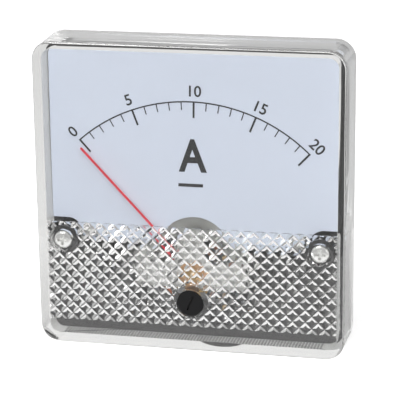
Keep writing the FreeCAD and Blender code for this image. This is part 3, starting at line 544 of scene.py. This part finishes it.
def wind_spring(piece):
    depths = [vert.co.y for vert in piece.data.vertices]
    depth = (min(depths) + max(depths)) / 2
    outer, inner = ((0.0, depth, z * MM) for z in HAIRSPRING_SPAN)
    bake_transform(piece)
    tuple(outer)
    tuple(inner)


def dress_cover(mesh):
    mesh.materials.append(INNER_WALL_FINISH)
    # The finish for the flutes carries stripes of painted shade and highlight
    mesh.materials.append(FLUTE_PAINTED_SHADE_FINISH)
    for face in mesh.polygons:
        face.material_index = wall_finish(face)


def dress_node(node):
    """Sets a finished copy of a CAD node in its place."""
    slot = slot_of(node)
    is_spring = node in HAIRSPRINGS
    body = None if is_spring else body_of(node)
    material = THREADS.get(node, MATERIALS[slot])
    piece = new_piece(node + "_finish", merged_mesh(node), body, material)
    if is_spring:
        wind_spring(piece)
    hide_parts(node)
    if node == "front_cover":
        dress_cover(piece.data)


for node in frame["nodes"]:
    dress_node(node)

dial_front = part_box("dial_plate")[0].y


def on_scale(radius, degrees):
    """A place at a radius and an angle of the scale, in millimetres."""
    angle = math.radians(degrees)
    return SCALE_X + radius * math.sin(angle), SCALE_Z + radius * math.cos(angle)


def plain_mesh(name, holder):
    """What a helper object evaluates to, as a plain mesh; the helper goes."""
    bpy.context.view_layer.update()
    evaluated = holder.evaluated_get(bpy.context.evaluated_depsgraph_get())
    mesh = bpy.data.meshes.new_from_object(evaluated)
    mesh.name = name
    bpy.data.objects.remove(holder)
    return mesh


def tick_tree(name, material):
    """Bars set round the pivot, one for each mark of the scale."""
    tree = bpy.data.node_groups.new(name, "GeometryNodeTree")
    tree.interface.new_socket("Geometry", in_out="OUTPUT", socket_type="NodeSocketGeometry")
    for label, kind in (
        ("Count", "NodeSocketInt"),
        ("First Angle", "NodeSocketFloat"),
        ("Step Angle", "NodeSocketFloat"),
        ("Middle Radius", "NodeSocketFloat"),
        ("Bar", "NodeSocketVector"),
        ("Pivot", "NodeSocketVector"),
    ):
        tree.interface.new_socket(label, in_out="INPUT", socket_type=kind)
    nodes = Nodes(tree)
    given = nodes.node("NodeGroupInput").outputs
    index = Value(nodes, nodes.node("GeometryNodeInputIndex").outputs[0])
    turn = index.math("MULTIPLY_ADD", given["Step Angle"], given["First Angle"])
    outward = nodes.node("ShaderNodeCombineXYZ", {0: turn.math("SINE"), 2: turn.math("COSINE")})
    reach = nodes.node(
        "ShaderNodeVectorMath",
        {0: outward.outputs[0], "Scale": given["Middle Radius"]},
        operation="SCALE",
    )
    place = nodes.node(
        "ShaderNodeVectorMath", {0: reach.outputs[0], 1: given["Pivot"]}, operation="ADD"
    )
    points = nodes.node("GeometryNodePoints", {0: given["Count"], 1: place.outputs[0]})
    bar = nodes.node("GeometryNodeMeshCube", {0: given["Bar"]})
    rotation = nodes.node("ShaderNodeCombineXYZ", {1: turn})
    bars = nodes.node(
        "GeometryNodeInstanceOnPoints",
        {0: points.outputs[0], "Instance": bar.outputs[0], "Rotation": rotation.outputs[0]},
    )
    real = nodes.node("GeometryNodeRealizeInstances", {0: bars.outputs[0]})
    dressed = nodes.node("GeometryNodeSetMaterial", {0: real.outputs[0], "Material": material})
    nodes.node("NodeGroupOutput", {0: dressed.outputs[0]})
    return tree


def scale_ticks(name, material, step, count, length, width):
    """Ticks that hang inward from the outer edge of the scale's arc."""
    tree = tick_tree(name + "_tree", material)
    outer = SCALE_RADIUS + SCALE_LINE / 2
    values = {
        "Count": count,
        "First Angle": math.radians(SCALE_FIRST),
        "Step Angle": math.radians(step),
        "Middle Radius": (outer - length / 2) * MM,
        "Bar": (width * MM, 2 * PRINT_LAYER * MM, length * MM),
        "Pivot": (SCALE_X * MM, dial_front, SCALE_Z * MM),
    }
    holder = bpy.data.objects.new(name + "_holder", bpy.data.meshes.new(name + "_holder"))
    bpy.context.scene.collection.objects.link(holder)
    modifier = holder.modifiers.new("make", "NODES")
    modifier.node_group = tree
    for socket in tree.interface.items_tree:
        if socket.in_out == "INPUT":
            modifier[socket.identifier] = values[socket.name]
    new_piece(name, plain_mesh(name, holder), PRINT_BODY, material)


def printed_ring(low, high):
    """Cross-section of a line of print between two places on the dial."""
    corners = ((low, PRINT_LAYER), (high, PRINT_LAYER), (high, -PRINT_LAYER), (low, -PRINT_LAYER))
    return [(x * MM, dial_front - layer * MM, z * MM) for (x, z), layer in corners]


def printed_strip(name, rings):
    """A closed line of print whose cross-section is given at each step."""
    shape = bmesh.new()
    loops = [[shape.verts.new(corner) for corner in ring] for ring in rings]
    size = len(loops[0])
    for before, after in zip(loops, loops[1:]):
        for k in range(size):
            following = (k + 1) % size
            shape.faces.new((before[k], before[following], after[following], after[k]))
    shape.faces.new(loops[0][::-1])
    shape.faces.new(loops[-1])
    bmesh.ops.recalc_face_normals(shape, faces=shape.faces)
    mesh = bpy.data.meshes.new(name)
    shape.to_mesh(mesh)
    shape.free()
    new_piece(name, mesh, PRINT_BODY, INK)


def printed_text(name, words, height, place, weight, turn=0.0, width_share=1.0):
    """Flat figures that lie on the dial and read from the front."""
    curve = bpy.data.curves.new(name, "FONT")
    curve.body = words
    curve.align_x = "CENTER"
    curve.align_y = "CENTER"
    curve.size = height * MM / CAPITAL_SHARE
    curve.offset = weight * MM
    curve.extrude = PRINT_LAYER * MM
    holder = bpy.data.objects.new(name + "_holder", curve)
    bpy.context.scene.collection.objects.link(holder)
    mesh = plain_mesh(name, holder)
    x, z = place
    slim = Matrix.Diagonal((width_share, 1.0, 1.0, 1.0))
    stand = Matrix.Rotation(math.radians(90), 4, "X")
    lean = Matrix.Rotation(math.radians(turn), 4, "Y")
    mesh.transform(Matrix.Translation((x * MM, dial_front, z * MM)) @ lean @ stand @ slim)
    new_piece(name, mesh, PRINT_BODY, INK)


def scale_arc():
    half = SCALE_LINE / 2
    rings = []
    for k in range(ARC_STEPS + 1):
        degrees = SCALE_FIRST + (SCALE_LAST - SCALE_FIRST) * k / ARC_STEPS
        low, high = (on_scale(SCALE_RADIUS + side * half, degrees) for side in (-1, 1))
        rings.append(printed_ring(low, high))
    printed_strip("scale_arc", rings)


def unit_bar():
    x, z = BAR_MIDDLE
    rings = []
    for end in (x - BAR_WIDTH / 2, x + BAR_WIDTH / 2):
        rings.append(printed_ring((end, z - BAR_HEIGHT / 2), (end, z + BAR_HEIGHT / 2)))
    printed_strip("unit_bar", rings)


def dial_print():
    gaps = len(SCALE_FIGURES) - 1
    major = (SCALE_LAST - SCALE_FIRST) / gaps
    minor = major / MINOR_STEPS
    scale_arc()
    scale_ticks("major_ticks", INK, major, gaps + 1, MAJOR_TICK, MAJOR_WIDTH)
    scale_ticks("minor_ticks", FINE_INK, minor, gaps * MINOR_STEPS + 1, MINOR_TICK, MINOR_WIDTH)
    for k, figure in enumerate(SCALE_FIGURES):
        turn = SCALE_FIRST + k * major
        place = on_scale(FIGURE_RADIUS, turn)
        printed_text("figure_%d" % figure, str(figure), FIGURE_HEIGHT, place, FIGURE_WEIGHT, turn)
    printed_text(
        "unit_letter", "A", UNIT_HEIGHT, UNIT_MIDDLE, UNIT_WEIGHT, width_share=UNIT_WIDTH_SHARE
    )
    unit_bar()


dial_print()


def white_ground(name):
    """White to the camera and in reflections, plain pale under light, with soft shadows."""
    finish = Finish(name, FLOOR_GREY, FLOOR_ROUGHNESS, Emission_Strength=1.0)
    path = finish.node("ShaderNodeLightPath").outputs
    seen = Value(finish, path["Is Camera Ray"])
    bounced = finish.math("MAXIMUM", path["Is Glossy Ray"], path["Is Transmission Ray"])
    share = (seen * FLOOR_SEEN).math("MAXIMUM", bounced * FLOOR_REFLECTED)
    finish.set("Emission Color", finish.blend(share, BLACK, WHITE))
    return finish.material


def lay_floor():
    low = cad_box[0].z - FLOOR_GAP
    corners = [
        (-FLOOR_REACH, FLOOR_FRONT, low),
        (FLOOR_REACH, FLOOR_FRONT, low),
        (FLOOR_REACH, FLOOR_REACH, low),
        (-FLOOR_REACH, FLOOR_REACH, low),
    ]
    mesh = bpy.data.meshes.new("floor")
    mesh.from_pydata(corners, [], [(0, 1, 2, 3)])
    mesh.materials.append(white_ground("pale_ground"))
    sheet = bpy.data.objects.new("floor", mesh)
    bpy.context.scene.collection.objects.link(sheet)


def world_light():
    """White behind the object, a dimmer room in front of it, plain light on matt surfaces."""
    world = bpy.data.worlds.new("studio")
    bpy.context.scene.world = world
    world.use_nodes = True
    background = world.node_tree.nodes["Background"]
    background.inputs["Color"].default_value = WHITE
    nodes = Nodes(world.node_tree)
    path = nodes.node("ShaderNodeLightPath").outputs
    seen = Value(nodes, path["Is Camera Ray"])
    bounced = nodes.math("MAXIMUM", path["Is Glossy Ray"], path["Is Transmission Ray"])
    generated = nodes.node("ShaderNodeTexCoord").outputs["Generated"]
    direction = nodes.node("ShaderNodeSeparateXYZ", {0: generated})
    room = nodes.node(
        "ShaderNodeMapRange",
        {
            "Value": direction.outputs[Y_AXIS],
            "From Min": -ROOM_TURN,
            "From Max": ROOM_TURN,
            "To Min": ROOM_LEVEL,
            "To Max": 1.0,
        },
        interpolation_type="SMOOTHSTEP",
    )
    in_room = bounced * (Value(nodes, room.outputs[0]) - AMBIENT_LEVEL)
    direct = seen * (seen - AMBIENT_LEVEL)
    nodes.feed(background.inputs["Strength"], in_room + AMBIENT_LEVEL + direct)


def area_lamp(name, place, power):
    """A square lamp that looks at the middle of the object."""
    lamp = bpy.data.lights.new(name, "AREA")
    lamp.shape = "SQUARE"
    lamp.size = LAMP_SIZE
    lamp.energy = power
    stand = bpy.data.objects.new(name, lamp)
    bpy.context.scene.collection.objects.link(stand)
    stand.location = place
    stand.rotation_euler = (-Vector(place)).to_track_quat("-Z", "Y").to_euler()


def photo_camera():
    camera = bpy.data.cameras.new("camera")
    camera.lens = CAMERA_LENS
    stand = bpy.data.objects.new("camera", camera)
    bpy.context.scene.collection.objects.link(stand)
    stand.location = CAMERA_PLACE
    stand.rotation_euler = [math.radians(turn) for turn in CAMERA_TURN]
    bpy.context.scene.camera = stand


world_light()
lay_floor()
area_lamp("key_lamp", KEY_PLACE, KEY_POWER)
area_lamp("fill_lamp", FILL_PLACE, FILL_POWER)
photo_camera()
bpy.context.scene.view_settings.view_transform = "Standard"
bpy.context.scene.cycles.max_bounces = CLEAR_BOUNCES
bpy.context.scene.cycles.transmission_bounces = CLEAR_BOUNCES
bpy.context.scene.cycles.glossy_bounces = GLOSSY_BOUNCES
